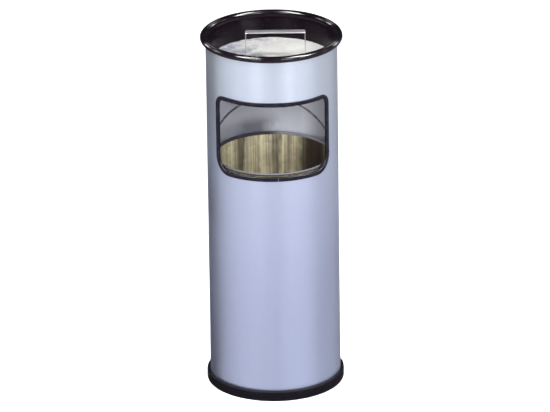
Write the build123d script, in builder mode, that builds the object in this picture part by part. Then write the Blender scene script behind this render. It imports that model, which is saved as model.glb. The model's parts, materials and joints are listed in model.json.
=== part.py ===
"""Free-standing litter bin with a lift-off sand ash bowl, a butt sieve and a galvanised inner liner.

Millimetres. Origin at the middle of the footprint, on the floor; +Z up; the bin's opening faces -Y.
"""

import os
from math import cos, radians, sin, sqrt

from build123d import *

# ---- Driving dimensions ----
overall_height = 650.0  # floor to the top of the ash bowl's rim
rim_diameter = 250.0
shell_diameter = 231.0
sheet = 0.9  # painted steel sheet of shell, floor and ash bowl
bare_gap = 0.3  # air between curved faces of pieces that lift apart
cut_margin = 1.0  # how far a cut runs past the faces that it goes through

# Base ring: rubber channel
ring_diameter = 243.2
ring_height = 19.0
ring_inner_height = 11.0
ring_floor = 3.0  # rubber under the sheet edges
ring_wall = 2.2  # inner lip
ring_bottom_round = 4.0
ring_top_round = 2.5

# Opening in the shell, measured on its cut edge
opening_bottom = 422.0
opening_top = 556.0
opening_half_angle = 54.5
opening_corner = 13.5
opening_low_corner = 27.0

# Edge trim of the opening
trim_lip = 6.3  # how far the lips reach over the sheet
trim_web = 1.5
trim_wall = 1.8
trim_joint_angle = 4.5  # the ends meet a little right of the middle of the lower edge
trim_joint_gap = 0.6

# Seam of the shell: welded butt joint at the back, ground flush outside
weld_width = 3.0
weld_ridge = 0.2
weld_end_gap = 1.0  # the ridge stops short of the floor and of the top edge

# Floor of the shell
floor_height = 16.0
floor_corner = 3.0
swage_radius = 62.0
swage_half_width = 6.0
swage_depth = 2.0

# Ash bowl
bead_radius = 5.9
bowl_floor_height = 576.0
bowl_floor_radius = 100.0
bowl_corner = 7.0
bowl_collar_bottom = 634.0  # below this the bowl wall tapers
sand_height = 605.0

# Sieve
sieve_radius = 86.8
sieve_sheet = 1.0
sieve_foot = 2.6  # turned-down edge that the plate stands on
sieve_offset = 7.2  # it lies a little off the middle of the bowl
sieve_hole = 3.5  # radius
sieve_pitch = 15.0
sieve_hole_field = 79.0
handle_top = 653.0
handle_width = 105.6
handle_strip_width = 15.0
handle_strip = 1.5
handle_bend = 2.5
handle_foot = 15.0
handle_rivet_radius = 1.5
handle_rivet_head_radius = 2.8
handle_rivet_head = 1.1
head_crown_share = 0.6  # the flat top of a rivet head, as a share of its radius
head_edge_share = 1 / 3  # the upright edge of a rivet head, as a share of its height

# Liner
liner_radius = 101.6  # outside of the wall
liner_turn = -9.0  # degrees, as the liner happens to stand in the bin
liner_sheet = 0.7
liner_top = 426.0
liner_bead = 2.2
liner_wire_clearance = 0.1
liner_hem = 2.1
liner_foot_bend = 1.2
liner_floor_height = 22.0
liner_floor_corner = 2.0
liner_seam_width = 7.0
liner_seam_depth = 1.3

# Bail and its ears
wire_radius = 1.75
bail_radius = 108.0
bail_pivot_height = 418.0
bail_bend = 2.4
pivot_clearance = 0.05
pivot_gap = 0.4
pivot_head_radius = 3.4
ear_inner_face = 103.6
ear_sheet = 1.5
ear_bottom = 409.0
ear_top = 421.2
ear_half_width = 8.0
ear_foot_from = 6.6  # degrees from the ear's middle
ear_foot_to = 12.0
ear_rivet_angle = 9.4
ear_rivet_height = 415.0
ear_rivet_radius = 2.0
ear_rivet_head_radius = 3.2
ear_rivet_head = 1.3
ear_rivet_relief = 0.06  # a flat head on the curved wall

# ---- Sizes that follow ----
shell_outer = shell_diameter / 2
shell_inner = shell_outer - sheet
bead_centre_radius = rim_diameter / 2 - bead_radius
bead_centre_height = overall_height - bead_radius
collar_radius = bead_centre_radius - bead_radius
bead_drop = sqrt(bead_radius**2 - (bead_centre_radius - shell_outer) ** 2)
shell_top = bead_centre_height - bead_drop - bare_gap
sieve_plate_under = bowl_floor_height + sieve_foot
sieve_plate_top = sieve_plate_under + sieve_sheet
sieve_plane = Plane((sieve_offset, 0, 0))
liner_inner = liner_radius - liner_sheet
liner_bead_radius = liner_inner + liner_bead
liner_bead_height = liner_top - liner_bead

os.makedirs("parts", exist_ok=True)


def write(piece, name):
    """Labels a finished piece and writes its STEP file."""
    piece.label = name
    export_step(piece, f"parts/{name}.step")


def outward(angle):
    """The level direction away from the bin's axis; angle 0 is +X, and -90 is the front."""
    return Vector(cos(radians(angle)), sin(radians(angle)), 0)


def half_plane(angle):
    """The upright plane through the bin's axis, with x outwards and y upwards."""
    return Plane((0, 0, 0), x_dir=outward(angle), z_dir=outward(angle - 90))


def tangent_plane(angle, radius, height):
    """A plane that touches a cylinder about the bin's axis, facing outwards."""
    spot = outward(angle) * radius + Vector(0, 0, height)
    return Plane(spot, x_dir=outward(angle + 90), z_dir=outward(angle))


def opening_block(grow, inner, outer):
    """A curved block through the wall with the opening's outline, grown by the given amount."""
    angle = opening_half_angle + grow / (shell_outer * radians(1))
    low, high = opening_bottom - grow, opening_top + grow
    with BuildPart() as block:
        with BuildSketch(half_plane(-90 - angle)):
            with Locations(((inner + outer) / 2, (low + high) / 2)):
                Rectangle(outer - inner, high - low)
        revolve(axis=Axis.Z, revolution_arc=2 * angle)
        for corner, level, up in ((opening_corner, high, -1), (opening_low_corner, low, 1)):
            radius = corner + grow
            middle = (radius - cut_margin) / 2
            for side in (-1, 1):
                with BuildSketch(tangent_plane(side * angle - 90, 0, level)):
                    with Locations((-side * middle, up * middle)):
                        Rectangle(radius + cut_margin, radius + cut_margin)
                    with Locations((-side * radius, up * radius)):
                        Circle(radius, mode=Mode.SUBTRACT)
                extrude(amount=outer + cut_margin, mode=Mode.SUBTRACT)
    return block.part


def flanged_disc(radius, top, bottom, thickness, corner):
    """A pressed sheet disc with a ring-shaped swage and its flange turned down."""
    with BuildPart() as disc:
        with BuildSketch(Plane.XZ):
            with BuildLine():
                FilletPolyline(
                    (0, top),
                    (swage_radius - swage_half_width, top),
                    (swage_radius, top - swage_depth),
                    (swage_radius + swage_half_width, top),
                    (radius, top),
                    (radius, bottom),
                    radius=corner,
                )
                offset(amount=thickness, side=Side.RIGHT)
            make_face()
        revolve(axis=Axis.Z)
    return disc.part


def headed_pin(shank_radius, head_radius, head, grip):
    """A rivet along +Z: the grip starts at the origin, with a head of sloped sides at each end."""
    crown = head_radius * head_crown_share
    edge = head * head_edge_share
    with BuildPart() as pin:
        with BuildSketch(Plane.XZ):
            with BuildLine():
                Polyline(
                    (0, -head),
                    (crown, -head),
                    (head_radius, -edge),
                    (head_radius, 0),
                    (shank_radius, 0),
                    (shank_radius, grip),
                    (head_radius, grip),
                    (head_radius, grip + edge),
                    (crown, grip + head),
                    (0, grip + head),
                    close=True,
                )
            make_face()
        revolve(axis=Axis.Z)
    return pin.part


# ---- Body shell: rolled tube with the opening and a welded seam at the back ----
opening_cut = opening_block(0, shell_inner - cut_margin, shell_outer + cut_margin)

with BuildPart() as body_shell:
    with BuildSketch(Plane.XY.offset(ring_floor)):
        Circle(shell_outer)
        Circle(shell_inner, mode=Mode.SUBTRACT)
    extrude(amount=shell_top - ring_floor)
    with BuildSketch(Plane.XY.offset(floor_height + weld_end_gap)):
        with Locations((0, shell_inner)):
            Rectangle(weld_width, 2 * weld_ridge)
    extrude(amount=shell_top - floor_height - 2 * weld_end_gap)
    add(opening_cut, mode=Mode.SUBTRACT)
write(body_shell.part, "body_shell")


# ---- Body floor: pressed disc, its flange turned down inside the foot of the shell ----
body_floor = flanged_disc(shell_inner, floor_height, ring_floor, sheet, floor_corner)
write(body_floor, "body_floor")


# ---- Base ring: rubber channel round the lower edges of shell and floor flange ----
with BuildPart() as base_ring:
    ring_outer = ring_diameter / 2
    flange_inner = shell_inner - sheet
    with BuildSketch(Plane.XZ) as ring_section:
        with BuildLine():
            Polyline(
                (flange_inner - ring_wall, 0),
                (ring_outer, 0),
                (ring_outer, ring_height),
                (shell_outer, ring_height),
                (shell_outer, ring_floor),
                (flange_inner, ring_floor),
                (flange_inner, ring_inner_height),
                (flange_inner - ring_wall, ring_inner_height),
                close=True,
            )
        make_face()
        outside = ring_section.vertices().group_by(Axis.X)[-1].sort_by(Axis.Y)
        fillet(outside[0], ring_bottom_round)
        fillet(outside[-1], ring_top_round)
    revolve(axis=Axis.Z)
write(base_ring.part, "base_ring")


# ---- Opening trim: U-shaped edge profile on the cut edge, with a butt joint in its lower run ----
trim_inner = shell_inner - trim_wall
trim_outer = shell_outer + trim_wall
trim_height = opening_top - opening_bottom + 2 * trim_lip
trim_outline = opening_block(trim_lip, trim_inner, trim_outer)
trim_bridge = opening_block(0, shell_inner, shell_outer)
trim_window = opening_block(-trim_web, trim_inner - cut_margin, trim_outer + cut_margin)

with BuildPart() as opening_trim:
    add(trim_outline)
    with BuildSketch(Plane.XY.offset(opening_bottom - trim_lip)):
        Circle(shell_outer)
        Circle(shell_inner, mode=Mode.SUBTRACT)
    extrude(amount=trim_height, mode=Mode.SUBTRACT)
    add(trim_bridge)
    add(trim_window, mode=Mode.SUBTRACT)
    with BuildSketch(tangent_plane(trim_joint_angle - 90, trim_inner - cut_margin, opening_bottom)):
        Rectangle(trim_joint_gap, 2 * (trim_lip + cut_margin))
    extrude(amount=trim_outer - trim_inner + 2 * cut_margin, mode=Mode.SUBTRACT)
write(opening_trim.part, "opening_trim")


# ---- Ash bowl: pressed bowl whose rolled rim rests on the top edge of the shell ----
def bowl_radius(height):
    """Inside radius of the tapered bowl wall at a height."""
    share = (height - bowl_floor_height) / (bowl_collar_bottom - bowl_floor_height)
    return bowl_floor_radius + share * (collar_radius - bowl_floor_radius)


with BuildPart() as ash_bowl:
    with BuildSketch(Plane.XZ):
        with BuildLine():
            FilletPolyline(
                (0, bowl_floor_height),
                (bowl_floor_radius, bowl_floor_height),
                (collar_radius, bowl_collar_bottom),
                (collar_radius, bead_centre_height),
                radius=bowl_corner,
            )
            offset(amount=sheet, side=Side.RIGHT)
        make_face()
        with Locations((bead_centre_radius, bead_centre_height)):
            Circle(bead_radius)
            Circle(bead_radius - sheet, mode=Mode.SUBTRACT)
    revolve(axis=Axis.Z)
write(ash_bowl.part, "ash_bowl")


# ---- Sieve plate: perforated disc that stands on its turned-down edge ----
foot_middle = (handle_width + handle_foot) / 2
rivet_side = handle_strip_width / 4
rivet_places = [(x, y) for x in (-foot_middle, foot_middle) for y in (-rivet_side, rivet_side)]


def clear_of_feet(x, y):
    """True for a hole that the handle's feet don't cover."""
    beside = abs(y) > handle_strip_width / 2 + sieve_hole
    return beside or abs(abs(x) - foot_middle) > handle_foot / 2 + sieve_hole


def sieve_holes():
    """Places of the staggered holes, as many as fit inside the hole field."""
    row_pitch = sieve_pitch * sin(radians(60))
    count = int(sieve_hole_field / row_pitch)
    grid = [
        ((column + row % 2 / 2) * sieve_pitch, row * row_pitch)
        for row in range(-count, count + 1)
        for column in range(-count, count + 1)
    ]
    return [(x, y) for x, y in grid if sqrt(x * x + y * y) < sieve_hole_field and clear_of_feet(x, y)]


with BuildPart() as sieve_plate:
    with BuildSketch(sieve_plane.offset(bowl_floor_height)):
        Circle(sieve_radius)
    extrude(amount=sieve_foot + sieve_sheet)
    with BuildSketch(sieve_plane.offset(bowl_floor_height)):
        Circle(sieve_radius - sieve_sheet)
    extrude(amount=sieve_foot, mode=Mode.SUBTRACT)
    with BuildSketch(sieve_plane.offset(sieve_plate_under)):
        with Locations(*sieve_holes()):
            Circle(sieve_hole)
        with Locations(*rivet_places):
            Circle(handle_rivet_radius)
    extrude(amount=sieve_sheet, mode=Mode.SUBTRACT)
write(sieve_plate.part, "sieve_plate")


# ---- Sieve handle: flat strip bent to an upright U, its feet turned outwards ----
with BuildPart() as sieve_handle:
    half = handle_width / 2
    foot_top = sieve_plate_top + handle_strip
    side_plane = Plane((sieve_offset, handle_strip_width / 2, 0), x_dir=(1, 0, 0), z_dir=(0, -1, 0))
    with BuildSketch(side_plane):
        with BuildLine():
            FilletPolyline(
                (-half - handle_foot, foot_top),
                (-half, foot_top),
                (-half, handle_top),
                (half, handle_top),
                (half, foot_top),
                (half + handle_foot, foot_top),
                radius=handle_bend,
            )
            offset(amount=handle_strip, side=Side.RIGHT)
        make_face()
    extrude(amount=handle_strip_width)
    with BuildSketch(sieve_plane.offset(sieve_plate_top)):
        with Locations(*rivet_places):
            Circle(handle_rivet_radius)
    extrude(amount=handle_strip, mode=Mode.SUBTRACT)
write(sieve_handle.part, "sieve_handle")


# ---- Sieve rivets: through the handle's feet and the plate ----
sieve_grip = sieve_sheet + handle_strip
sieve_rivet = headed_pin(handle_rivet_radius, handle_rivet_head_radius, handle_rivet_head, sieve_grip)

with BuildPart() as sieve_rivets:
    with Locations(*[(sieve_offset + x, y, sieve_plate_under) for x, y in rivet_places]):
        add(sieve_rivet)
write(sieve_rivets.part, "sieve_rivets")


# ---- Sand bed: fills the bowl round the sieve, with a small gap to the pieces that lift out ----
with BuildPart() as sand_bed:
    with BuildSketch(Plane.XZ):
        with BuildLine():
            FilletPolyline(
                (0, bowl_floor_height),
                (bowl_floor_radius, bowl_floor_height),
                (bowl_radius(sand_height), sand_height),
                radius=bowl_corner,
            )
            Polyline((bowl_radius(sand_height), sand_height), (0, sand_height), (0, bowl_floor_height))
        make_face()
    revolve(axis=Axis.Z)
    pocket_floor = sieve_plane.offset(bowl_floor_height)
    with BuildSketch(pocket_floor):
        Circle(sieve_radius + bare_gap)
    extrude(amount=sieve_plate_top + bare_gap - bowl_floor_height, mode=Mode.SUBTRACT)
    foot_length = handle_foot + handle_strip + handle_bend
    with BuildSketch(pocket_floor):
        with Locations((-foot_middle, 0), (foot_middle, 0)):
            Rectangle(foot_length + 2 * bare_gap, handle_strip_width + 2 * bare_gap)
    extrude(amount=foot_top + handle_bend + bare_gap - bowl_floor_height, mode=Mode.SUBTRACT)
    leg_middle = (handle_width - handle_strip) / 2
    with BuildSketch(pocket_floor):
        with Locations((-leg_middle, 0), (leg_middle, 0)):
            Rectangle(handle_strip + 2 * bare_gap, handle_strip_width + 2 * bare_gap)
    extrude(amount=sand_height - bowl_floor_height, mode=Mode.SUBTRACT)
write(sand_bed.part, "sand_bed")


# ---- Liner wall: rolled galvanised tube, hemmed foot, grooved seam, rolled top edge ----
ear_sides = {"right": liner_turn, "left": liner_turn + 180}
rivet_angles = [side + turn for side in ear_sides.values() for turn in (-ear_rivet_angle, ear_rivet_angle)]
rivet_seat = liner_inner - ear_rivet_relief

with BuildPart() as liner_wall:
    with BuildSketch(Plane.XZ):
        with BuildLine():
            FilletPolyline(
                (liner_radius - liner_hem, floor_height),
                (liner_radius, floor_height),
                (liner_radius, liner_bead_height),
                radius=liner_foot_bend,
            )
            offset(amount=liner_sheet, side=Side.LEFT)
        make_face()
        with Locations((liner_bead_radius, liner_bead_height)):
            Circle(liner_bead)
            Circle(liner_bead - liner_sheet, mode=Mode.SUBTRACT)
    revolve(axis=Axis.Z)
    seam_base = floor_height + 2 * liner_foot_bend
    with BuildSketch(Plane.XY.offset(seam_base)):
        with Locations((0, -liner_radius)):
            Rectangle(liner_seam_width, 2 * liner_seam_depth)
        Circle(liner_radius - liner_sheet / 2, mode=Mode.SUBTRACT)
    extrude(amount=liner_bead_height - liner_bead - seam_base)
    for angle in rivet_angles:
        with BuildSketch(tangent_plane(angle, liner_inner - cut_margin, ear_rivet_height)):
            Circle(ear_rivet_radius)
        extrude(amount=liner_sheet + 2 * cut_margin, mode=Mode.SUBTRACT)
write(liner_wall.part, "liner_wall")


# ---- Liner floor: pressed disc inside the foot of the wall, its flange just above the hem ----
liner_flange_end = floor_height + liner_foot_bend
liner_floor = flanged_disc(liner_inner, liner_floor_height, liner_flange_end, liner_sheet, liner_floor_corner)
write(liner_floor, "liner_floor")


# ---- Liner rim wire: stiffens the rolled top edge from inside ----
with BuildPart() as liner_rim_wire:
    with BuildSketch(Plane.XZ):
        with Locations((liner_bead_radius, liner_bead_height)):
            Circle(liner_bead - liner_sheet - liner_wire_clearance)
    revolve(axis=Axis.Z)
write(liner_rim_wire.part, "liner_rim_wire")


# ---- Liner ears: pressed bridges that the ends of the bail turn in ----
def ear(side):
    """One ear, centred on the given angle round the liner."""
    with BuildPart() as bridge:
        with BuildSketch(Plane.XY.offset(ear_bottom).rotated((0, 0, side))):
            with BuildLine():
                lower_foot = CenterArc((0, 0), liner_radius, -ear_foot_to, ear_foot_to - ear_foot_from)
                upper_foot = CenterArc((0, 0), liner_radius, ear_foot_from, ear_foot_to - ear_foot_from)
                Polyline(
                    lower_foot @ 1,
                    (ear_inner_face, -ear_half_width),
                    (ear_inner_face, ear_half_width),
                    upper_foot @ 0,
                )
                offset(amount=ear_sheet, side=Side.RIGHT)
            make_face()
        extrude(amount=ear_top - ear_bottom)
        with BuildSketch(tangent_plane(side, ear_inner_face - cut_margin, bail_pivot_height)):
            Circle(wire_radius + pivot_clearance)
        extrude(amount=ear_sheet + 2 * cut_margin, mode=Mode.SUBTRACT)
        for turn in (-ear_rivet_angle, ear_rivet_angle):
            with BuildSketch(tangent_plane(side + turn, liner_radius - cut_margin, ear_rivet_height)):
                Circle(ear_rivet_radius)
            extrude(amount=ear_sheet + 2 * cut_margin, mode=Mode.SUBTRACT)
    return bridge.part


for side_name, side_angle in ear_sides.items():
    write(ear(side_angle), f"liner_ear_{side_name}")


# ---- Liner ear rivets: two through the feet of each ear and the wall ----
ear_grip = liner_radius + ear_sheet - rivet_seat
ear_rivet = headed_pin(ear_rivet_radius, ear_rivet_head_radius, ear_rivet_head, ear_grip)

with BuildPart() as liner_ear_rivets:
    with Locations(*[tangent_plane(angle, rivet_seat, ear_rivet_height) for angle in rivet_angles]):
        add(ear_rivet)
write(liner_ear_rivets.part, "liner_ear_rivets")


# ---- Bail: round wire in a half circle, its ends turned inwards through the ears and headed ----
with BuildPart() as liner_bail:
    pivot_end = ear_inner_face - pivot_gap
    bend_start = bail_radius - bail_bend
    arch_height = bail_pivot_height + bail_bend
    with BuildLine(half_plane(liner_turn)) as wire_path:
        Line((pivot_end, bail_pivot_height), (bend_start, bail_pivot_height))
        CenterArc((bend_start, arch_height), bail_bend, -90, 90)
        CenterArc((0, arch_height), bail_radius, 0, 180)
        CenterArc((-bend_start, arch_height), bail_bend, 180, 90)
        Line((-bend_start, bail_pivot_height), (-pivot_end, bail_pivot_height))
    with BuildSketch(tangent_plane(liner_turn, pivot_end, bail_pivot_height)):
        Circle(wire_radius)
    sweep(path=wire_path.wires()[0])
    for side in ear_sides.values():
        with BuildSketch(tangent_plane(side, liner_radius + pivot_gap, bail_pivot_height)):
            Circle(pivot_head_radius)
        extrude(amount=pivot_end - liner_radius - pivot_gap)
write(liner_bail.part, "liner_bail")
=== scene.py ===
import json
from collections import Counter
from math import cos, exp, pi, radians, sin, sqrt
from random import Random

import bmesh
import bpy
from mathutils import Matrix, Vector, noise


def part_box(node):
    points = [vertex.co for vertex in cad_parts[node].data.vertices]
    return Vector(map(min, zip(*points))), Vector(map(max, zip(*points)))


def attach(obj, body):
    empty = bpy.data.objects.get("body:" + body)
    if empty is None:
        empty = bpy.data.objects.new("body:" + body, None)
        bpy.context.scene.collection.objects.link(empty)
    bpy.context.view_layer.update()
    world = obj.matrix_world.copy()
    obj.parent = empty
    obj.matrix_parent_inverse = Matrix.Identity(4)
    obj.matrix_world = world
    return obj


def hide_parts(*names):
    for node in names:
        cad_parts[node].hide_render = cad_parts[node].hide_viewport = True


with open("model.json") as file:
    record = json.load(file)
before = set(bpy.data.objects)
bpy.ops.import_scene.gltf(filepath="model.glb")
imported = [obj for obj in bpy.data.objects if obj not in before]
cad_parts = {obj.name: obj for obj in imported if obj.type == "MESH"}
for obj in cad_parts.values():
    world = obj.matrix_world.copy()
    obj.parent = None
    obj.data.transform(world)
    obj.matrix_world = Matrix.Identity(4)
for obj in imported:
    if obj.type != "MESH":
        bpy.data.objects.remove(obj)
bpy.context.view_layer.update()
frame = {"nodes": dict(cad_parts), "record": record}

MM = 0.001

# ---- Sizes read from the frame ----
rim_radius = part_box("ash_bowl")[1].x
rim_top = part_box("ash_bowl")[1].z
bowl_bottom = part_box("ash_bowl")[0].z
shell_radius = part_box("body_shell")[1].x
shell_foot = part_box("body_shell")[0].z
shell_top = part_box("body_shell")[1].z
ring_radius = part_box("base_ring")[1].x
ring_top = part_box("base_ring")[1].z
trim_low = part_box("opening_trim")[0].z
trim_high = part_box("opening_trim")[1].z
sand_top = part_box("sand_bed")[1].z
sand_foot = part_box("sand_bed")[0].z
handle_low, handle_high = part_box("sieve_handle")
liner_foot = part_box("liner_wall")[0].z
liner_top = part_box("liner_wall")[1].z
bail_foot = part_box("liner_bail")[0].z
rivet_low, rivet_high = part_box("sieve_rivets")

# ---- Sizes of the pieces' own details ----
sheet = 0.9 * MM
bead_radius = 5.9 * MM
bowl_floor_radius = 100 * MM
bowl_corner = 7 * MM
collar_foot = 634 * MM
trim_lip = 6.3 * MM
trim_wall = 1.8 * MM
trim_web = 1.5 * MM
trim_joint = 4.5  # degrees from the front
trim_joint_gap = 0.6 * MM
opening_half_angle = 54.5  # degrees from the front to each side
opening_corner = 13.5 * MM
opening_low_corner = 27 * MM
liner_radius = 101.6 * MM
liner_turn = -9  # degrees anticlockwise, seen from above
liner_sheet = 0.7 * MM
liner_bead = 2.2 * MM
wire_radius = 1.75 * MM
bail_bend = 2.4 * MM
bail_radius = 108 * MM
bail_head_radius = 3.4 * MM
strip = 1.5 * MM
strip_bend = 2.5 * MM
strip_foot = 15 * MM

TURNS = 256  # segments round a turned piece


# ---- Mesh making ----
def spread(start, end, steps):
    """Evenly spaced values from start to end, both included."""
    return [start + (end - start) * i / steps for i in range(steps + 1)]


def arc(centre, radius, start, end, steps=8, rise=None):
    """Points on an arc about centre, its angles in degrees from the first axis towards the second.

    A rise is the radius along the second axis, where that differs.
    """
    rise = radius if rise is None else rise
    turns = [radians(angle) for angle in spread(start, end, steps)]
    return [(centre[0] + radius * cos(turn), centre[1] + rise * sin(turn)) for turn in turns]


def around(angle, radius, height):
    """The point at an angle round the bin from the front, a distance from its axis and a height."""
    return Vector((radius * sin(radians(angle)), -radius * cos(radians(angle)), height))


def add_piece(name, vertices, faces, finish, body, nodes=(), sharp=35):
    """Makes a smooth-shaded mesh piece that rides on a body and stands for CAD nodes."""
    mesh = bpy.data.meshes.new(name)
    mesh.from_pydata([tuple(v) for v in vertices], [], faces)
    working = bmesh.new()
    working.from_mesh(mesh)
    bmesh.ops.remove_doubles(working, verts=working.verts, dist=0.001 * MM)
    bmesh.ops.recalc_face_normals(working, faces=working.faces)
    working.to_mesh(mesh)
    working.free()
    mesh.shade_smooth()
    mesh.set_sharp_from_angle(angle=radians(sharp))
    piece = bpy.data.objects.new(name, mesh)
    bpy.context.scene.collection.objects.link(piece)
    mesh.materials.append(finish)
    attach(piece, body)
    if nodes:
        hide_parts(*nodes)
    return piece


def grid_faces(rows, columns, close_rows=False, close_columns=False):
    """Quads between the points of a grid that is stored row by row."""
    faces = []
    for i in range(rows if close_rows else rows - 1):
        for j in range(columns if close_columns else columns - 1):
            a, b = i * columns + j, i * columns + (j + 1) % columns
            c, d = ((i + 1) % rows) * columns + (j + 1) % columns, ((i + 1) % rows) * columns + j
            faces.append((a, b, c, d))
    return faces


def turned(outline, closed=True, turns=TURNS, swell=None):
    """Vertices and faces of an outline of (radius, height) points turned about the bin's axis."""
    vertices = []
    for radius, height in outline:
        for i in range(turns):
            angle = 360 * i / turns
            wave = swell(angle, height) if swell else 0
            vertices.append(around(angle, radius + wave, height))
    return vertices, grid_faces(len(outline), turns, close_rows=closed, close_columns=True)


def tube_faces(stations, points):
    """Faces of a tube with flat ends, from its number of stations and of points in its section."""
    faces = grid_faces(stations, points, close_columns=True)
    faces += [tuple(range(points))[::-1], tuple(range((stations - 1) * points, stations * points))]
    return faces


def swept(stations, section):
    """A section of (a, b) points swept through stations of (origin, direction of a, direction of b)."""
    vertices = [origin + a * across + b * up for origin, across, up in stations for a, b in section]
    return vertices, tube_faces(len(stations), len(section))


def gather(parts):
    """Joins several (vertices, faces) into one."""
    vertices, faces = [], []
    for some_vertices, some_faces in parts:
        start = len(vertices)
        vertices += some_vertices
        faces += [tuple(start + i for i in face) for face in some_faces]
    return vertices, faces


def rounded_box(width, height, corner, steps=4):
    """Section points of a rectangle with round corners, about its middle."""
    x, y = width / 2 - corner, height / 2 - corner
    corners = [((x, y), 0), ((-x, y), 90), ((-x, -y), 180), ((x, -y), 270)]
    return [point for centre, start in corners for point in arc(centre, corner, start, start + 90, steps)]


# ---- Finishes ----
class Finish:
    """A procedural material. Lengths in its textures are metres in the piece's own coordinates."""

    def __init__(self, name, **settings):
        self.material = bpy.data.materials.new(name)
        self.material.use_nodes = True
        self.tree = self.material.node_tree
        self.shader = self.tree.nodes["Principled BSDF"]
        self.place = self.tree.nodes.new("ShaderNodeTexCoord").outputs["Object"]
        for key, value in settings.items():
            self.shader.inputs[key.replace("_", " ").title().replace("Ior", "IOR")].default_value = value

    def node(self, kind, inputs, **settings):
        """Adds a node; an input is another node's output, or a value."""
        node = self.tree.nodes.new("ShaderNode" + kind)
        for key, value in settings.items():
            setattr(node, key, value)
        for key, value in inputs.items():
            if isinstance(value, bpy.types.NodeSocket):
                self.tree.links.new(value, node.inputs[key])
            else:
                node.inputs[key].default_value = value
        return node

    def stretch(self, x, y, z):
        """Texture coordinates scaled along each axis."""
        return self.node("Mapping", {"Vector": self.place, "Scale": (x, y, z)}).outputs["Vector"]

    def noise(self, scale, detail=2.0, vector=None, distortion=0.0):
        """Soft noise, mostly between 0.3 and 0.7."""
        inputs = {"Vector": vector or self.place, "Scale": scale, "Detail": detail, "Distortion": distortion}
        return self.node("TexNoise", inputs).outputs["Fac"]

    def cells(self, scale):
        """Cell noise: its outputs are each point's Distance from its cell's middle, and the cell's Color."""
        return self.node("TexVoronoi", {"Vector": self.place, "Scale": scale}).outputs

    def cell_shade(self, scale):
        """One random value for each cell."""
        return self.node("SeparateColor", {"Color": self.cells(scale)["Color"]}).outputs["Red"]

    def axes(self):
        """The place along X, Y and Z, in metres."""
        return self.node("SeparateXYZ", {"Vector": self.place}).outputs

    def span(self, value, low, high, out_low=0.0, out_high=1.0):
        """Maps low..high onto out_low..out_high and stays between them."""
        inputs = {"Value": value, "From Min": low, "From Max": high, "To Min": out_low, "To Max": out_high}
        return self.node("MapRange", inputs, interpolation_type="SMOOTHSTEP").outputs["Result"]

    def maths(self, operation, *values):
        """The result of a maths operation on other outputs or values."""
        node = self.tree.nodes.new("ShaderNodeMath")
        node.operation = operation
        for socket, value in zip(node.inputs, values):
            if isinstance(value, bpy.types.NodeSocket):
                self.tree.links.new(value, socket)
            else:
                socket.default_value = value
        return node.outputs[0]

    def mix(self, share, first, second, blend_type="MIX"):
        """A colour between first and second."""
        node = self.tree.nodes.new("ShaderNodeMix")
        node.data_type = "RGBA"
        node.blend_type = blend_type
        for index, value in ((0, share), (6, first), (7, second)):
            if isinstance(value, bpy.types.NodeSocket):
                self.tree.links.new(value, node.inputs[index])
            else:
                node.inputs[index].default_value = value if index == 0 else (*value, 1)
        return node.outputs[2]

    def ramp(self, value, stops, start, end):
        """A brightness from (value, brightness) stops, for values between start and end."""
        share = self.maths("DIVIDE", self.maths("SUBTRACT", value, start), end - start)
        node = self.node("ValToRGB", {"Fac": share})
        elements = node.color_ramp.elements
        for _ in stops[2:]:
            elements.new(0.5)
        for element, (at, level) in zip(elements, stops):
            element.position = (at - start) / (end - start)
            element.color = (level, level, level, 1)
        return node.outputs["Color"]

    def height(self):
        """The height above the floor, in metres."""
        return self.axes()["Z"]

    def bump(self, height, distance, under=None):
        """A surface normal with relief of the given depth, on top of another relief."""
        inputs = {"Height": height, "Distance": distance}
        if under:
            inputs["Normal"] = under
        return self.node("Bump", inputs).outputs["Normal"]

    def wear(self, **outputs):
        """Connects the finished outputs to the shader and returns the material."""
        for key, value in outputs.items():
            self.tree.links.new(value, self.shader.inputs[key.replace("_", " ").title()])
        return self.material


# Painted light and shade on the shell's inside, seen through the opening, as (X, brightness) from left to
# right.
INSIDE_REACH = 0.12
INSIDE_PAINTED_LIGHT = (
    (-INSIDE_REACH, 0.6), (-0.075, 0.74), (-0.03, 0.82), (0.0, 0.92), (0.03, 1.0), (0.055, 1.0), (0.08, 0.7),
    (INSIDE_REACH, 0.6),
)

# A soft painted shade above the liner's rim, as (X, share of the light that it takes).
INSIDE_PAINTED_SHADE = (
    (-INSIDE_REACH, 0.25), (-0.065, 0.4), (-0.045, 0.65), (-0.024, 0.65), (-0.004, 0.3), (0.012, 0.0),
    (INSIDE_REACH, 0.0),
)


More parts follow.
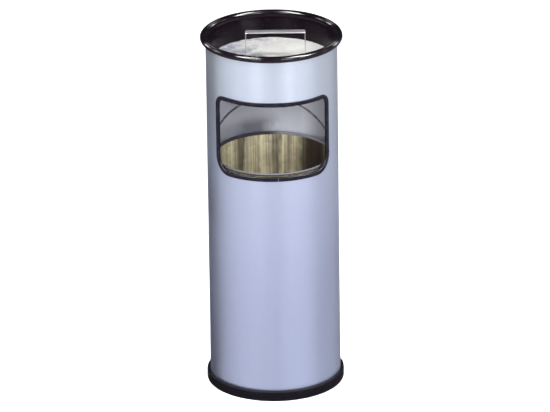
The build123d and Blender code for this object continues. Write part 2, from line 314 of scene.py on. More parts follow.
def make_shell_paint():
    """Silver-lilac metallic paint: fine flakes, slight orange peel, rubbing marks, painted light that is
    whiter towards the top and darker towards the foot; duller inside, with painted light and shade across the
    back wall and a painted shade above the liner's rim.
    """
    f = Finish("shell_paint", coat_weight=0.25, coat_roughness=0.28)
    axes = f.axes()
    squares = [f.maths("POWER", axes[axis], 2.0) for axis in "XY"]
    radius = f.maths("SQRT", f.maths("ADD", *squares))
    inside = f.span(radius, shell_radius - 0.7 * sheet, shell_radius - 0.3 * sheet, 1.0, 0.0)
    flakes = f.span(f.noise(2400, 1), 0.3, 0.7)
    clouds = f.noise(7, 3)
    rubs = f.span(f.noise(60, 4, f.stretch(1, 1, 0.06)), 0.45, 0.75)
    colour = f.mix(flakes, (0.46, 0.49, 0.66), (0.61, 0.64, 0.83))
    colour = f.mix(f.span(clouds, 0.35, 0.65, 0.0, 0.5), colour, (0.52, 0.57, 0.75))
    # Painted light and shade: whiter and lighter towards the top, darker towards the foot.
    colour = f.mix(f.span(f.height(), 0.25, 0.65, 0.0, 0.45), colour, (0.70, 0.76, 0.82))
    tint = f.mix(f.span(f.height(), 0.06, 0.40), (0.75, 0.77, 0.81), (0.86, 0.875, 0.91))
    tint = f.mix(f.span(f.height(), 0.42, 0.62), tint, (0.93, 0.95, 0.92))
    colour = f.mix(1.0, colour, tint, "MULTIPLY")
    # Painted light and shade across the inside's back wall, from left to right.
    tone = f.ramp(axes["X"], INSIDE_PAINTED_LIGHT, -INSIDE_REACH, INSIDE_REACH)
    tone = f.maths("MULTIPLY", tone, f.span(f.noise(26, 2, f.stretch(1, 1, 0.4)), 0.3, 0.7, 0.93, 1.0))
    # A soft painted shade on the inside, just above the liner's rim.
    sway = f.span(f.noise(40, 2), 0.3, 0.7, -6 * MM, 6 * MM)
    painted_shade_share = f.ramp(f.maths("ADD", axes["X"], sway), INSIDE_PAINTED_SHADE, -INSIDE_REACH, INSIDE_REACH)
    low = f.span(f.height(), liner_top + 8 * MM, liner_top + 34 * MM, 1.0, 0.0)
    painted_shade_share = f.maths("MULTIPLY", low, painted_shade_share)
    tone = f.maths("MULTIPLY", tone, f.maths("SUBTRACT", 1.0, painted_shade_share))
    colour = f.mix(inside, colour, f.mix(tone, (0.0, 0.0, 0.03), (0.87, 0.89, 1.0)))
    rough = f.maths("ADD", f.span(clouds, 0.3, 0.7, 0.29, 0.34), f.maths("MULTIPLY", rubs, 0.03))
    rough = f.maths("ADD", rough, f.maths("MULTIPLY", inside, 0.16))
    relief = f.bump(f.noise(420, 2), 0.012 * MM)
    relief = f.bump(flakes, 0.004 * MM, relief)
    metal = f.maths("SUBTRACT", 0.9, f.maths("MULTIPLY", inside, 0.6))
    return f.wear(base_color=colour, metallic=metal, roughness=rough, normal=relief)


def make_black_rubber():
    """Semi-matt black rubber with fine grain, dust and a lighter scuffed foot."""
    f = Finish("black_rubber", specular_ior_level=0.05)
    dust = f.span(f.noise(45, 4), 0.52, 0.75)
    scuffs = f.span(f.noise(160, 4, f.stretch(1, 1, 3)), 0.5, 0.7)
    low = f.span(f.height(), 0.0, 5 * MM, 1.0, 0.0)
    colour = f.mix(f.maths("MULTIPLY", dust, 0.5), (0.004, 0.003, 0.006), (0.010, 0.008, 0.013))
    colour = f.mix(f.maths("MULTIPLY", scuffs, f.maths("MULTIPLY", low, 0.5)), colour, (0.05, 0.045, 0.05))
    rough = f.span(f.noise(90, 3), 0.3, 0.7, 0.5, 0.65)
    relief = f.bump(f.noise(1500, 3), 0.03 * MM)
    return f.wear(base_color=colour, roughness=rough, normal=relief)


def make_black_trim():
    """Smooth black edge profile with a slight blue tint and faint patches."""
    f = Finish("black_trim", specular_ior_level=0.14)
    patches = f.noise(70, 3)
    colour = f.mix(f.span(patches, 0.4, 0.7), (0.005, 0.004, 0.010), (0.012, 0.011, 0.020))
    rough = f.span(f.noise(120, 3), 0.3, 0.7, 0.26, 0.38)
    relief = f.bump(f.noise(900, 2), 0.012 * MM)
    return f.wear(base_color=colour, roughness=rough, normal=relief)


def make_black_enamel():
    """Glossy black enamel, a little wavy and dusty, and duller below the rim's bead."""
    f = Finish("black_enamel", specular_ior_level=0.25)
    rubbed = f.span(f.height(), collar_foot - 2 * MM, collar_foot + 3 * MM, 1.0, 0.0)
    dust = f.span(f.noise(300, 5), 0.56, 0.8)
    haze = f.noise(22, 3)
    hairs = f.span(f.noise(500, 2, f.stretch(0.15, 0.15, 1.5)), 0.62, 0.75)
    colour = f.mix(f.maths("MULTIPLY", dust, 0.3), (0.006, 0.0025, 0.006), (0.03, 0.022, 0.03))
    rough = f.maths("ADD", f.span(haze, 0.35, 0.65, 0.12, 0.2), f.maths("MULTIPLY", hairs, 0.08))
    rough = f.maths("ADD", rough, f.maths("MULTIPLY", rubbed, 0.06))
    relief = f.bump(f.noise(55, 2), 0.05 * MM)
    return f.wear(base_color=colour, roughness=rough, normal=relief)


def make_sand():
    """Pale quartz sand: mixed grains, with a blotchy bluish-grey painted shadow on the left."""
    f = Finish("sand", specular_ior_level=0.25)
    grain_scale = 1100
    shade = f.cell_shade(grain_scale)
    colour = f.mix(shade, (0.72, 0.71, 0.68), (0.82, 0.815, 0.79))
    colour = f.mix(f.span(shade, 0.965, 0.985), colour, (0.42, 0.36, 0.30))
    # A blotchy bluish-grey painted shadow over the sand's left side.
    reach = f.maths("ADD", f.axes()["X"], f.span(f.noise(34, 4), 0.3, 0.7, -35 * MM, 35 * MM))
    sand_painted_shadow = f.span(reach, -65 * MM, 2 * MM, 0.9, 0.0)
    blots = f.span(f.noise(48, 2), 0.35, 0.65, 0.45, 1.0)
    colour = f.mix(f.maths("MULTIPLY", sand_painted_shadow, blots), colour, (0.21, 0.225, 0.31))
    rough = f.span(f.noise(700, 2), 0.3, 0.7, 0.75, 0.95)
    relief = f.bump(f.cells(grain_scale)["Distance"], 0.25 * MM)
    return f.wear(base_color=colour, roughness=rough, normal=relief)


def make_sieve_steel():
    """Plain rolled steel strip and sheet with fine drawing lines along X and dull smudges."""
    f = Finish("sieve_steel", metallic=0.9)
    lines = f.noise(900, 3, f.stretch(0.05, 1, 1))
    smudges = f.noise(40, 3)
    colour = f.mix(f.span(smudges, 0.35, 0.7), (0.62, 0.60, 0.63), (0.52, 0.50, 0.53))
    colour = f.mix(f.span(lines, 0.3, 0.7, 0.0, 0.3), colour, (0.42, 0.41, 0.43))
    rough = f.maths("ADD", f.span(smudges, 0.3, 0.7, 0.27, 0.33), f.span(lines, 0.3, 0.7, 0.0, 0.05))
    relief = f.bump(lines, 0.01 * MM)
    return f.wear(base_color=colour, roughness=rough, normal=relief)


# The liner's widest streaks as (angle from the middle of its back, brightness): partly roller streaks, partly
# painted reflections, with painted shade in the dark stretch from 33 to 58 degrees.
LINER_STREAKS_AND_PAINTED_LIGHT = (
    (-75, 0.3), (-56, 0.5), (-47, 0.72), (-38, 0.26), (-32, 0.13), (-29, 0.6), (-22, 0.56), (-13, 0.5),
    (-10.5, 1.0), (-8, 0.62), (-2, 0.5), (1, 0.3), (6, 0.22), (9.5, 0.78), (12, 0.55), (15, 0.3), (20, 0.62),
    (27, 0.48), (33, 0.13), (41, 0.03), (58, 0.03), (75, 0.3),
)


def make_galvanised():
    """Warm grey zinc-coated sheet: upright roller streaks, some wide and wavy and partly painted reflections
    and shade, and a soft spangle; painted shade and a painted highlight on the bead.
    """
    f = Finish("galvanised", metallic=0.3)
    axes = f.axes()
    angle = f.maths("MULTIPLY", f.maths("ARCTAN2", axes["X"], axes["Y"]), 1 / radians(1))
    sway = f.span(f.noise(22, 2, f.stretch(1, 1, 0.8)), 0.3, 0.7, -2, 2)
    # The wide streaks carry painted reflections and painted shade.
    wide = f.ramp(f.maths("ADD", angle, sway), LINER_STREAKS_AND_PAINTED_LIGHT, -90, 90)
    fine = f.span(f.noise(240, 3, f.stretch(1, 1, 0.02), 0.2), 0.35, 0.65, 0.7, 1.25)
    spangle = f.cell_shade(95)
    tone = f.maths("MULTIPLY", f.maths("MULTIPLY", wide, fine), f.span(spangle, 0, 1, 1.1, 1.4))
    colour = f.mix(tone, (0.02, 0.01, 0.015), (1.0, 0.91, 0.62))
    # Painted shade on the rim's bead: dark all round, with a lighter painted highlight at the back right.
    bead = f.span(f.height(), liner_top - 2.5 * liner_bead, liner_top - 2.0 * liner_bead)
    # Where the painted highlight goes, at the back right of the bead.
    rubbed = f.maths("MULTIPLY", f.span(axes["X"], -10 * MM, 20 * MM), f.span(axes["Y"], -10 * MM, 10 * MM))
    dull = f.mix(rubbed, (0.05, 0.045, 0.06), (0.34, 0.33, 0.37))
    colour = f.mix(bead, colour, dull)
    hairs = f.noise(420, 2, f.stretch(1, 1, 0.02))
    rough = f.maths("ADD", f.span(spangle, 0.0, 1.0, 0.36, 0.44), f.span(hairs, 0.3, 0.7, 0.0, 0.08))
    rough = f.maths("ADD", rough, f.maths("MULTIPLY", bead, 0.3))
    relief = f.bump(hairs, 0.02 * MM)
    return f.wear(base_color=colour, roughness=rough, normal=relief)


def make_bail_wire():
    """Drawn galvanised wire, dull grey with brighter rubbed places."""
    f = Finish("bail_wire", metallic=0.85)
    patches = f.noise(150, 3)
    colour = f.mix(f.span(patches, 0.4, 0.65), (0.13, 0.13, 0.15), (0.30, 0.30, 0.33))
    rough = f.span(f.noise(600, 2), 0.3, 0.7, 0.42, 0.52)
    relief = f.bump(f.noise(1400, 2), 0.02 * MM)
    return f.wear(base_color=colour, roughness=rough, normal=relief)


# The frame's plain materials go first, so that the finishes can have their slots' names.
for plain in list(bpy.data.materials):
    bpy.data.materials.remove(plain)

shell_paint = make_shell_paint()
black_rubber = make_black_rubber()
black_trim = make_black_trim()
black_enamel = make_black_enamel()
sand_finish = make_sand()
sieve_steel = make_sieve_steel()
galvanised = make_galvanised()
bail_wire = make_bail_wire()
finish_of_slot = {finish.name: finish for finish in bpy.data.materials}


def paint_frame():
    """Gives every CAD node the finish of its slot."""
    for part in frame["record"]["subparts"]:
        mesh = frame["nodes"][part["node"]].data
        mesh.materials.clear()
        mesh.materials.append(finish_of_slot[part["material_slot"]])
        for polygon in mesh.polygons:
            polygon.material_index = 0


# ---- Body ----
cut_low = trim_low + trim_lip
cut_high = trim_high - trim_lip
cut_half = shell_radius * radians(opening_half_angle)


def wrapped(along, height, radius):
    """A point of the flat sheet, along its width from the front, rolled to a radius."""
    return around(along / radians(1) / shell_radius, radius, height)


def opening_side(side, steps):
    """Points of one side of the cut edge, anticlockwise, from the middle of a corner to the next one's."""
    low, high = opening_low_corner, opening_corner
    corners = [(-cut_half + low, cut_low + low, low), (cut_half - low, cut_low + low, low)]
    corners += [(cut_half - high, cut_high - high, high), (-cut_half + high, cut_high - high, high)]
    turn = ("low", "right", "high", "left").index(side)
    first, second = corners[turn], corners[(turn + 1) % len(corners)]
    angle = 225 + 90 * turn
    fine = arc(first, first[2], angle, angle + 45, 12) + arc(second, second[2], angle + 45, angle + 90, 12)
    lengths = [0.0]
    for (x0, z0), (x1, z1) in zip(fine, fine[1:]):
        lengths.append(lengths[-1] + sqrt((x1 - x0) ** 2 + (z1 - z0) ** 2))
    points, at = [], 0
    for share in spread(0, lengths[-1], steps):
        while at < len(fine) - 2 and lengths[at + 1] < share:
            at += 1
        part = (share - lengths[at]) / (lengths[at + 1] - lengths[at])
        (x0, z0), (x1, z1) = fine[at], fine[at + 1]
        points.append((x0 + (x1 - x0) * part, z0 + (z1 - z0) * part))
    return points


def shell_sheet():
    """The shell unrolled: (along, height) points, and quads that follow the opening's outline near it."""
    step, row_step = 2 * pi * shell_radius / TURNS, 9 * MM
    margin, margin_rows = 5, 2  # of the stretch round the opening where the quads follow its outline
    half_columns = round(cut_half / step) + margin
    rows = round((cut_high - cut_low) / row_step) + 2 * margin_rows
    left, right = -half_columns * step, half_columns * step
    low, high = cut_low - margin_rows * row_step, cut_high + margin_rows * row_step
    sides = {
        "low": [(x, low) for x in spread(left, right, 2 * half_columns)],
        "right": [(right, z) for z in spread(low, high, rows)],
        "high": [(x, high) for x in spread(right, left, 2 * half_columns)],
        "left": [(left, z) for z in spread(high, low, rows)],
    }
    points, faces = [], []
    for side, outer in sides.items():
        inner = opening_side(side, len(outer) - 1)
        start = len(points)
        for ring in spread(0, 1, margin):
            for a, b in zip(inner, outer):
                points.append((a[0] + (b[0] - a[0]) * ring, a[1] + (b[1] - a[1]) * ring))
        faces += [tuple(start + i for i in face) for face in grid_faces(margin + 1, len(outer))]
    columns = spread(-pi * shell_radius, pi * shell_radius, TURNS)
    below = spread(shell_foot, low, round((low - shell_foot) / row_step))
    beside = spread(low, high, rows)
    above = spread(high, shell_top, round((shell_top - high) / row_step))
    left_columns = [x for x in columns if x < left + step / 2]
    right_columns = [x for x in columns if x > right - step / 2]
    blocks = [(columns, below), (columns, above), (left_columns, beside), (right_columns, beside)]
    for across, upward in blocks:
        start = len(points)
        points += [(x, z) for z in upward for x in across]
        faces += [tuple(start + i for i in face) for face in grid_faces(len(upward), len(across))]
    return points, faces


def add_shell():
    """The rolled tube with its opening, and the weld along its back."""
    points, faces = shell_sheet()
    spots, corners = {}, []
    for x, z in points:
        spot = tuple(round(value / MM, 3) for value in wrapped(x, z, shell_radius))
        corners.append(spots.setdefault(spot, (len(spots), x, z))[0])
    sheet_points = [(x, z) for _, x, z in spots.values()]
    faces = [tuple(corners[i] for i in face) for face in faces]
    count = len(sheet_points)
    vertices = [wrapped(x, z, shell_radius) for x, z in sheet_points]
    vertices += [wrapped(x, z, shell_radius - sheet) for x, z in sheet_points]
    pairs = [pair for face in faces for pair in zip(face, face[1:] + face[:1])]
    uses = Counter(tuple(sorted(pair)) for pair in pairs if pair[0] != pair[1])
    edge_faces = [(b, a, a + count, b + count) for (a, b), times in uses.items() if times == 1]
    faces += [tuple(i + count for i in face[::-1]) for face in faces] + edge_faces
    add_piece("shell_tube", vertices, faces, shell_paint, "body", ["body_shell"])
    width, ridge = 3 * MM, 0.35 * MM
    section = arc((0, 0), width / 2, 0, 360, 16, rise=ridge)[:-1]
    stations = []
    for i, z in enumerate(spread(shell_foot + 15 * MM, shell_top - 2 * MM, 220)):
        drift = 0.25 * MM * noise.noise(Vector((0, 0, z * 60)))
        ripple = 1 + 0.12 * (i % 2)
        origin = around(180, shell_radius - sheet, z) + Vector((drift, 0, 0))
        stations.append((origin, Vector((1, 0, 0)), Vector((0, -ripple, 0))))
    vertices, weld_faces = swept(stations, section)
    add_piece("shell_weld", vertices, weld_faces, shell_paint, "body")


def add_base_ring():
    """Rubber channel: round outer corners, a parting line near its top and a butt joint at the back."""
    inner, wall, lip = 111.5 * MM, 2.2 * MM, 11 * MM
    groove, groove_height = 0.35 * MM, 13.2 * MM
    low_round, high_round, bevel = 4 * MM, 2.5 * MM, 0.8 * MM
    seal, seal_depth, clearance = 0.5 * MM, 1.6 * MM, 0.05 * MM
    outline = [(inner, bevel), (inner + bevel, 0)]
    outline += arc((ring_radius - low_round, low_round), low_round, -90, 0, 10)
    outline += [(ring_radius, groove_height - groove)]
    outline += arc((ring_radius, groove_height), groove, -90, -270, 6)
    outline += [(ring_radius, groove_height + groove)]
    outline += arc((ring_radius - high_round, ring_top - high_round), high_round, 0, 90, 8)
    outline += arc((shell_radius + 0.9 * MM, ring_top - seal), seal, 90, 180, 4)
    outline += [(shell_radius + clearance, ring_top - seal_depth), (shell_radius + clearance, shell_foot)]
    outline += [(inner + wall, shell_foot), (inner + wall, lip), (inner, lip)]
    joint = 0.25  # half the joint's width, in degrees
    vertices = []
    angles = spread(-180 + joint, 180 - joint, TURNS)
    for angle in angles:
        vertices += [around(angle, radius, height) for radius, height in outline]
    faces = tube_faces(len(angles), len(outline))
    add_piece("foot_ring", vertices, faces, black_rubber, "body", ["base_ring"])


def add_opening_trim():
    """The U-shaped edge profile round the opening, from one end of its joint to the other."""
    inner, outer = shell_radius - sheet - trim_wall, shell_radius + trim_wall
    half, centre = (outer - inner) / 2, (outer + inner) / 2
    nose, round_edge = 1.4 * MM, 0.85 * MM
    slot_half, slot_end = sheet / 2 + 0.05 * MM, 0.4 * MM
    shoulder = trim_lip * 0.55
    section = arc((-trim_web + nose, half - nose), nose, 180, 90, 6)
    section += [(shoulder, half)]
    section += arc((trim_lip - round_edge, half - round_edge), round_edge, 90, 0, 5)
    section += [(trim_lip, slot_half), (slot_end, slot_half), (slot_end, -slot_half), (trim_lip, -slot_half)]
    section += arc((trim_lip - round_edge, -half + round_edge), round_edge, 0, -90, 5)
    section += [(shoulder, -half)]
    section += arc((-trim_web + nose, -half + nose), nose, -90, -180, 6)
    long_steps, short_steps = 60, 48
    steps_of_side = {"low": long_steps, "right": short_steps, "high": long_steps, "left": short_steps}
    path = []
    for side, steps in steps_of_side.items():
        path += opening_side(side, steps)[:-1]
    joint_at = shell_radius * radians(trim_joint)
    right_part = [p for p in path[:long_steps] if p[0] > joint_at + trim_joint_gap]
    left_part = [p for p in path[:long_steps] if p[0] < joint_at - trim_joint_gap]
    path = [(joint_at + trim_joint_gap / 2, cut_low)] + right_part + path[long_steps:] + left_part
    path.append((joint_at - trim_joint_gap / 2, cut_low))
    vertices = []
    for i, (x, z) in enumerate(path):
        before, after = path[max(i - 1, 0)], path[min(i + 1, len(path) - 1)]
        run = Vector((after[0] - before[0], after[1] - before[1])).normalized()
        away = Vector((run.y, -run.x))
        for a, b in section:
            vertices.append(wrapped(x + a * away.x, z + a * away.y, centre + b))
    faces = tube_faces(len(path), len(section))
    add_piece("opening_edging", vertices, faces, black_trim, "body", ["opening_trim"])


# ---- Ash bowl, sand and sieve ----
bead_centre = (rim_radius - bead_radius, rim_top - bead_radius)
collar_radius = bead_centre[0] - bead_radius


def bowl_side(floor_height, inset):
    """The bowl's floor and corner as (radius, height) points from the axis, inset from its inside."""
    slope = Vector((collar_radius - bowl_floor_radius, collar_foot - bowl_bottom - sheet))
    lean = slope.angle(Vector((1, 0)))
    turn = lean / 2
    corner = bowl_corner + inset
    reach = bowl_corner * sin(turn) / cos(turn)
    centre = (bowl_floor_radius - reach, bowl_bottom + sheet + bowl_corner)
    points = [(0.0, floor_height), (0.4 * centre[0], floor_height), (0.8 * centre[0], floor_height)]
    points += arc(centre, corner, -90, -90 + lean / radians(1), 8)
    return points


def add_ash_bowl():
    """Pressed bowl with a rolled bead that sits on the shell's top edge."""
    bend, lean = 6 * MM, 12  # of the collar, where it meets the sloping side
    outline = bowl_side(bowl_bottom, sheet)
    outline += arc((collar_radius + sheet - bend, collar_foot - 1 * MM), bend, -lean, 0, 3)
    outline += [(collar_radius + sheet, bead_centre[1] - 5.3 * MM)]
    outline += arc(bead_centre, bead_radius, -128, 172, 40)
    outline += [(collar_radius, bead_centre[1] - 2 * MM)]
    outline += arc((collar_radius - bend, collar_foot + bend), bend, 0, -lean, 3)
    outline += bowl_side(bowl_bottom + sheet, 0)[::-1]
    vertices, faces = turned(outline, closed=False)
    add_piece("bowl_and_rim", vertices, faces, black_enamel, "bowl", ["ash_bowl"])


sand_mean = sand_top - 1.6 * MM
sand_clearance = 0.05 * MM


def sand_level(x, y):
    """Height of the sand's surface over its mean level: raked swells, dimples on the left, grains."""
    spot = Vector((x, y, 0.31))
    swell = 1.3 * MM * noise.noise(spot * 26)
    leftness = 1 / (1 + exp((x + 20 * MM) * 90))
    dimple = 1.5 * MM * min(0.0, noise.noise(spot * 70 + Vector((4, 7, 1)))) * leftness
    grain = 0.30 * MM * noise.noise(spot * 900) + 0.14 * MM * noise.noise(spot * 2100)
    return swell + dimple + grain


def add_sand():
    """The bed of sand: a fine displaced surface over the bowl's inside shape."""
    rise = (sand_mean - sand_foot) / (collar_foot - sand_foot)
    edge = bowl_floor_radius + (collar_radius - bowl_floor_radius) * rise
    edge_dip = 0.6 * MM
    rings, turns = 150, 420
    vertices, faces = [Vector((0, 0, sand_mean + sand_level(0, 0)))], []
    for ring in range(1, rings + 1):
        radius = edge * ring / rings
        for i in range(turns):
            point = around(360 * i / turns, radius, sand_mean)
            vertices.append(point + Vector((0, 0, sand_level(point.x, point.y) - edge_dip * (ring == rings))))
    faces += [(0, 1 + i, 1 + (i + 1) % turns) for i in range(turns)]
    faces += [tuple(1 + k for k in face) for face in grid_faces(rings, turns, close_columns=True)]
    side = bowl_side(sand_foot, 0)[::-1]
    for radius, height in side[:-1]:
        for i in range(turns):
            vertices.append(around(360 * i / turns, radius - 0.2 * MM, height + sand_clearance))
    start = 1 + (rings - 1) * turns
    faces += [tuple(start + k for k in face) for face in grid_faces(len(side), turns, close_columns=True)]
    last = len(vertices) - turns
    vertices.append(Vector((0, 0, sand_foot + sand_clearance)))
    faces += [(last + i, last + (i + 1) % turns, len(vertices) - 1) for i in range(turns)]
    add_piece("sand_surface", vertices, faces, sand_finish, "bowl", ["sand_bed"], sharp=80)


def add_grains():
    """Loose coarser grains that lie on the sand."""
    count, reach = 1500, 103 * MM
    random = Random(7)
    shape = bmesh.new()
    bmesh.ops.create_icosphere(shape, subdivisions=1, radius=1)
    unit = [v.co.copy() for v in shape.verts]
    unit_faces = [tuple(v.index for v in face.verts) for face in shape.faces]
    shape.free()
    parts = []
    for _ in range(count):
        radius, angle = reach * sqrt(random.random()), 360 * random.random()
        spot = around(angle, radius, sand_mean)
        spot.z += sand_level(spot.x, spot.y)
        size = MM * (0.25 + 0.35 * random.random() ** 2)
        shape_scale = Vector((1, 0.7 + 0.3 * random.random(), 0.6 + 0.3 * random.random()))
        turn = Matrix.Rotation(radians(360 * random.random()), 3, "Z")
        parts.append(([spot + turn @ (co * size * shape_scale) for co in unit], unit_faces))
    vertices, faces = gather(parts)
    add_piece("sand_grains", vertices, faces, sand_finish, "bowl", sharp=60)


def bent_strip_path(points, radius, steps=6):
    """A flat path of (x, z) corners with round bends: (point, direction) at each station."""
    path = [(points[0], (Vector(points[1]) - Vector(points[0])).normalized())]
    for before, corner, after in zip(points, points[1:], points[2:]):
        corner = Vector(corner)
        start = (corner - Vector(before)).normalized()
        end = (Vector(after) - corner).normalized()
        turn = start.angle(end)
        reach = radius * sin(turn / 2) / cos(turn / 2)
        side = 1 if start.x * end.y - start.y * end.x > 0 else -1
        normal = Vector((-start.y, start.x)) * side
        centre = corner - start * reach + normal * radius
        for share in spread(0, 1, steps):
            angle = turn * share
            place = centre - normal * radius * cos(angle) + start * radius * sin(angle)
            path.append((place, start * cos(angle) + normal * sin(angle)))
    path.append((points[-1], (Vector(points[-1]) - Vector(points[-2])).normalized()))
    return path


def add_sieve_handle():
    """Bent flat strip with its edges broken, feet turned outwards."""
    left, right = handle_low.x + strip_foot + strip / 2, handle_high.x - strip_foot - strip / 2
    foot, top = handle_low.z + strip / 2, handle_high.z - strip / 2
    points = [(handle_low.x, foot), (left, foot), (left, top)]
    points += [(right, top), (right, foot), (handle_high.x, foot)]
    section = rounded_box(strip, handle_high.y - handle_low.y, 0.45 * MM)
    stations = []
    for place, run in bent_strip_path(points, strip_bend):
        normal = Vector((-run[1], 0, run[0]))
        stations.append((Vector((place[0], 0, place[1])), normal, Vector((0, 1, 0))))
    vertices, faces = swept(stations, section)
    add_piece("handle_strip", vertices, faces, sieve_steel, "sieve", ["sieve_handle"])


def rivet(shank, head_radius, head, grip):
    """A rivet with a domed head at each end, along +Z from the origin."""
    dome = arc((0, grip), head_radius, 0, 90, 6, rise=head)
    tail = arc((0, 0), head_radius, 90, 0, 6, rise=-head)
    return turned(tail + [(shank, 0), (shank, grip)] + dome, closed=False, turns=24)


def add_sieve_rivets():
    """Four round-headed rivets through the handle's feet."""
    shank, head_radius, head = 1.45 * MM, 2.8 * MM, 1.1 * MM
    grip = rivet_high.z - rivet_low.z - 2 * head
    parts = []
    for x in (rivet_low.x + head_radius, rivet_high.x - head_radius):
        for y in (rivet_low.y + head_radius, rivet_high.y - head_radius):
            vertices, faces = rivet(shank, head_radius, head, grip)
            parts.append(([v + Vector((x, y, rivet_low.z + head)) for v in vertices], faces))
    vertices, faces = gather(parts)
    add_piece("handle_rivets", vertices, faces, sieve_steel, "sieve", ["sieve_rivets"])


# ---- Liner ----
def liner_waves(angle, height):
    """Slight unevenness of the rolled sheet, with none at its foot and its bead."""
    if height > liner_top - 3 * liner_bead or height < liner_foot + 8 * MM:
        return 0
    spot = around(angle, 1, 0)
    slow = noise.noise(Vector((spot.x * 2.2, spot.y * 2.2, height * 1.2)))
    quick = noise.noise(Vector((spot.x * 7, spot.y * 7, height * 0.7 + 5)))
    return 0.10 * MM * slow + 0.05 * MM * quick


def add_liner_wall():
    """Rolled tube with a hemmed foot, a bead rolled outwards round the rim wire, and a lock seam."""
    inner = liner_radius - liner_sheet
    bead = (inner + liner_bead, liner_top - liner_bead)
    hem, hem_round = 1.4 * MM, 1.2 * MM
    outline = [(inner - hem, liner_foot + liner_sheet), (inner - hem, liner_foot)]
    outline += arc((liner_radius - hem_round, liner_foot + hem_round), hem_round, -90, 0, 5)
    heights = spread(liner_foot + 9 * MM, liner_top - 3.2 * liner_bead, 24)
    outline += [(liner_radius, z) for z in heights]
    outline += [(liner_radius, bead[1] - 1.9 * MM)]
    outline += arc(bead, liner_bead, -135, 180, 22)
    outline += [(inner, z) for z in heights[::-1]]
    outline += [(inner, liner_foot + 1.9 * MM), (inner - 0.5 * MM, liner_foot + liner_sheet)]
    tube = turned(outline, swell=liner_waves)
    seam = []
    half_width, depth, fold = 3.5 * MM, 1.15 * MM, 0.6 * MM
    section = [(-half_width, -fold), (half_width, -fold)]
    section += arc((half_width - fold, depth - fold), fold, 0, 90, 4)
    section += arc((-half_width + fold, depth - fold), fold, 90, 180, 4)
    for z in spread(liner_foot + 3 * MM, liner_top - 2.1 * liner_bead, 40):
        seam.append((around(0, liner_radius, z), Vector((1, 0, 0)), Vector((0, -1, 0))))
    vertices, faces = gather([tube, swept(seam, section)])
    add_piece("liner_tube", vertices, faces, galvanised, "liner", ["liner_wall"])


def add_bail():
    """Round wire in a half circle, its ends bent inwards through the ears and headed."""
    pivot = bail_foot + bail_head_radius
    spring = pivot + bail_bend  # the height that the half circle springs from
    eye, head_end = 103.2 * MM, 102.1 * MM
    bend_steps = 6
    path = [(Vector((eye, 0, pivot)), Vector((0, 0, 1)))]
    for x, z in arc((bail_radius - bail_bend, spring), bail_bend, -90, 0, bend_steps):
        outwards = Vector((x - bail_radius + bail_bend, 0, z - spring)).normalized()
        path.append((Vector((x, 0, z)), -outwards))
    for x, z in arc((0, spring), bail_radius, 0, 180, 96)[1:]:
        path.append((Vector((x, 0, z)), -Vector((x, 0, z - spring)).normalized()))
    path += [(Vector((-p.x, 0, p.z)), Vector((-n.x, 0, n.z))) for p, n in path[bend_steps::-1]]
    ring = arc((0, 0), wire_radius, 0, 360, 20)[:-1]
    parts = [swept([(p, n, Vector((0, 1, 0))) for p, n in path], ring)]
    profile = [(0, 0), (0.7, 0.0), (0.95, 0.15), (1, 0.45), (1, 0.9), (0.9, 1), (0, 1)]
    length, turns = eye - head_end, 24
    for side in (1, -1):
        vertices = []
        for share, along in profile:
            for i in range(turns):
                a = 2 * pi * i / turns
                place = Vector((0, cos(a), sin(a))) * share * bail_head_radius
                vertices.append(Vector((side * (head_end + along * length), 0, pivot)) + place)
        parts.append((vertices, grid_faces(len(profile), turns, close_columns=True)))
    vertices, faces = gather(parts)
    turn = Matrix.Rotation(radians(liner_turn), 3, "Z")
    vertices = [turn @ Vector(v) for v in vertices]
    add_piece("bail_hoop", vertices, faces, bail_wire, "bail", ["liner_bail"])


# ---- Studio ----
# The table top's brightness as (azimuth, level), from behind the bin, by its left side, front and right side.
TABLE_LIGHT = (
    (-180, 0.0), (-150, 0.0), (-128, 0.05), (-104, 0.52), (-85, 0.76), (-60, 0.96), (-30, 0.98), (0, 0.86),
    (30, 0.98), (60, 0.96), (90, 0.62), (120, 0.56), (150, 0.3), (180, 0.0),
)
ROOM_LIGHT = 0.02


def add_camera():
    """A long lens, 12 m in front of the bin and 5 m up, looking down at it."""
    place, look_down, lean = Vector((0.0026, -12.0, 5.10201)), 21.71, -0.77
    data = bpy.data.cameras.new("camera")
    data.sensor_width = 36
    data.lens = 478.9
    data.clip_end = 60
    camera = bpy.data.objects.new("camera", data)
    tilt = Matrix.Rotation(radians(90 - look_down), 4, "X")
    roll = Matrix.Rotation(radians(lean), 4, "Z")
    camera.matrix_world = Matrix.Translation(place) @ tilt @ roll
    bpy.context.scene.collection.objects.link(camera)
    bpy.context.scene.camera = camera


def add_soft_box(name, azimuth, elevation, distance, size, radiance, reach, colour=(1, 1, 1)):
    """A rectangular soft box that faces the bin from an angle round it and an angle above the horizon.

    Its reach is all, gloss for reflections alone, or matt for everything but reflections.
    """
    target = Vector((0, 0, 450 * MM))
    level = distance * cos(radians(elevation))
    place = target + around(azimuth, level, distance * sin(radians(elevation)))
    data = bpy.data.lights.new(name, "AREA")
    data.shape = "RECTANGLE"
    data.size, data.size_y = size
    data.energy = radiance * pi * size[0] * size[1]
    data.color = colour
    lamp = bpy.data.objects.new(name, data)
    lamp.location = place
    lamp.rotation_euler = (target - place).to_track_quat("-Z", "Y").to_euler()
    lamp.visible_camera = False
    lamp.visible_diffuse = reach != "gloss"
    lamp.visible_glossy = reach != "matt"
    bpy.context.scene.collection.objects.link(lamp)


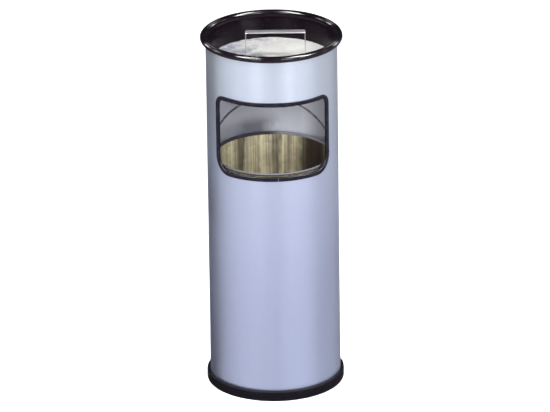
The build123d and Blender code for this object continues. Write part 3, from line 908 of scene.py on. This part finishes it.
def add_floor():
    """A wide pale floor."""
    f = Finish("studio_floor", specular_ior_level=0.1, emission_strength=0.85)
    f.shader.inputs["Emission Color"].default_value = (1, 1, 1, 1)
    tone = f.mix(f.span(f.noise(3, 2), 0.3, 0.7), (0.93, 0.93, 0.94), (0.95, 0.95, 0.955))
    rough = f.span(f.noise(40, 2), 0.3, 0.7, 0.85, 0.95)
    material = f.wear(base_color=tone, roughness=rough)
    mesh = bpy.data.meshes.new("studio_floor")
    rim = [around(a, 14, 0) for a in spread(0, 360, 64)[:-1]]
    mesh.from_pydata([tuple(p) for p in rim], [], [tuple(range(len(rim)))])
    mesh.materials.append(material)
    floor = bpy.data.objects.new("studio_floor", mesh)
    floor.visible_glossy = False
    bpy.context.scene.collection.objects.link(floor)


def add_world():
    """Surroundings: a lit table top below the horizon, a dim room above, and plain white for the camera."""
    world = bpy.data.worlds.new("studio")
    world.use_nodes = True
    tree = world.node_tree

    def add_node(kind, **inputs):
        node = tree.nodes.new("ShaderNode" + kind)
        for key, value in inputs.items():
            socket = node.inputs[int(key[1:])] if key[1:].isdigit() else node.inputs[key.replace("_", " ")]
            if isinstance(value, bpy.types.NodeSocket):
                tree.links.new(value, socket)
            else:
                socket.default_value = value
        return node

    direction = add_node("SeparateXYZ", Vector=tree.nodes.new("ShaderNodeTexCoord").outputs["Generated"])
    forward = add_node("Math", i0=direction.outputs["Y"], i1=-1.0)
    forward.operation = "MULTIPLY"
    angle = add_node("Math", i0=direction.outputs["X"], i1=forward.outputs[0])
    angle.operation = "ARCTAN2"
    place = add_node("MapRange", Value=angle.outputs[0], From_Min=-pi, From_Max=pi)
    ramp = add_node("ValToRGB", Fac=place.outputs["Result"])
    ramp.color_ramp.interpolation = "EASE"
    for _ in TABLE_LIGHT[2:]:
        ramp.color_ramp.elements.new(0.5)
    for stop, (azimuth, level) in zip(ramp.color_ramp.elements, TABLE_LIGHT):
        stop.position = (azimuth + 180) / 360
        stop.color = (level, level, level, 1)
    below = add_node("MapRange", Value=direction.outputs["Z"], From_Min=0.15, From_Max=-0.12)
    below.interpolation_type = "SMOOTHSTEP"
    table = add_node("Math", i0=ramp.outputs["Color"], i1=below.outputs["Result"])
    table.operation = "MULTIPLY"
    strength = add_node("Math", i0=table.outputs[0], i1=ROOM_LIGHT)
    strength.operation = "ADD"
    surroundings = tree.nodes["Background"]
    surroundings.inputs["Color"].default_value = (0.96, 0.97, 1, 1)
    tree.links.new(strength.outputs[0], surroundings.inputs["Strength"])
    backdrop = add_node("Background", Color=(1, 1, 1, 1))
    camera_ray = tree.nodes.new("ShaderNodeLightPath").outputs["Is Camera Ray"]
    choose = add_node("MixShader", i0=camera_ray, i1=surroundings.outputs[0], i2=backdrop.outputs[0])
    tree.links.new(choose.outputs[0], tree.nodes["World Output"].inputs["Surface"])
    bpy.context.scene.world = world


# Soft boxes as name, azimuth, elevation, distance, (width, height), radiance, reach, and colour if not white.
SOFT_BOXES = (
    ("front_left_box", -24, -5, 2.6, (0.5, 0.4), 3.5, "all"),
    ("front_right_box", 28, -5, 2.6, (0.5, 0.4), 3.5, "all"),
    ("right_box", 50, 14, 2.6, (0.5, 0.5), 12, "all"),
    ("high_front_box", 5, 26, 2.6, (0.6, 0.5), 36, "matt"),
    ("opening_box", 0, 10, 2.6, (0.6, 0.5), 19, "matt"),
    ("high_left_box", -53, 55, 2.4, (0.5, 0.6), 20, "all"),
    ("high_right_box", 64, 53, 2.4, (0.5, 0.6), 22, "all"),
    ("side_left_box", -98, 24, 2.4, (0.5, 0.6), 20, "all", (1, 0.98, 0.95)),
    ("side_right_box", 94, 22, 2.4, (0.4, 0.6), 6, "all"),
    ("back_left_box", -156, 38, 2.4, (0.45, 0.4), 6, "all"),
    ("back_right_box", 156, 38, 2.4, (0.45, 0.4), 8, "all"),
    ("sheen_front_1", -26, 26, 2.6, (0.7, 0.25), 60, "gloss"),
    ("sheen_side_1", -124, 18, 2.6, (0.5, 0.4), 36, "gloss"),
    ("sheen_front_2", 26, 26, 2.6, (0.7, 0.25), 60, "gloss"),
    ("sheen_side_2", 124, 18, 2.6, (0.5, 0.4), 36, "gloss"),
    ("sheen_high_1", -53, 55, 2.4, (0.6, 1.3), 130, "gloss"),
    ("sheen_high_2", 64, 53, 2.4, (0.6, 1.3), 150, "gloss"),
)


def add_studio():
    """Camera, surroundings, floor and soft boxes."""
    add_camera()
    add_world()
    add_floor()
    for soft_box in SOFT_BOXES:
        add_soft_box(*soft_box)
    bpy.context.scene.view_settings.view_transform = "Standard"


paint_frame()
add_shell()
add_base_ring()
add_opening_trim()
add_ash_bowl()
add_sand()
add_grains()
add_sieve_handle()
add_sieve_rivets()
add_liner_wall()
add_bail()
add_studio()
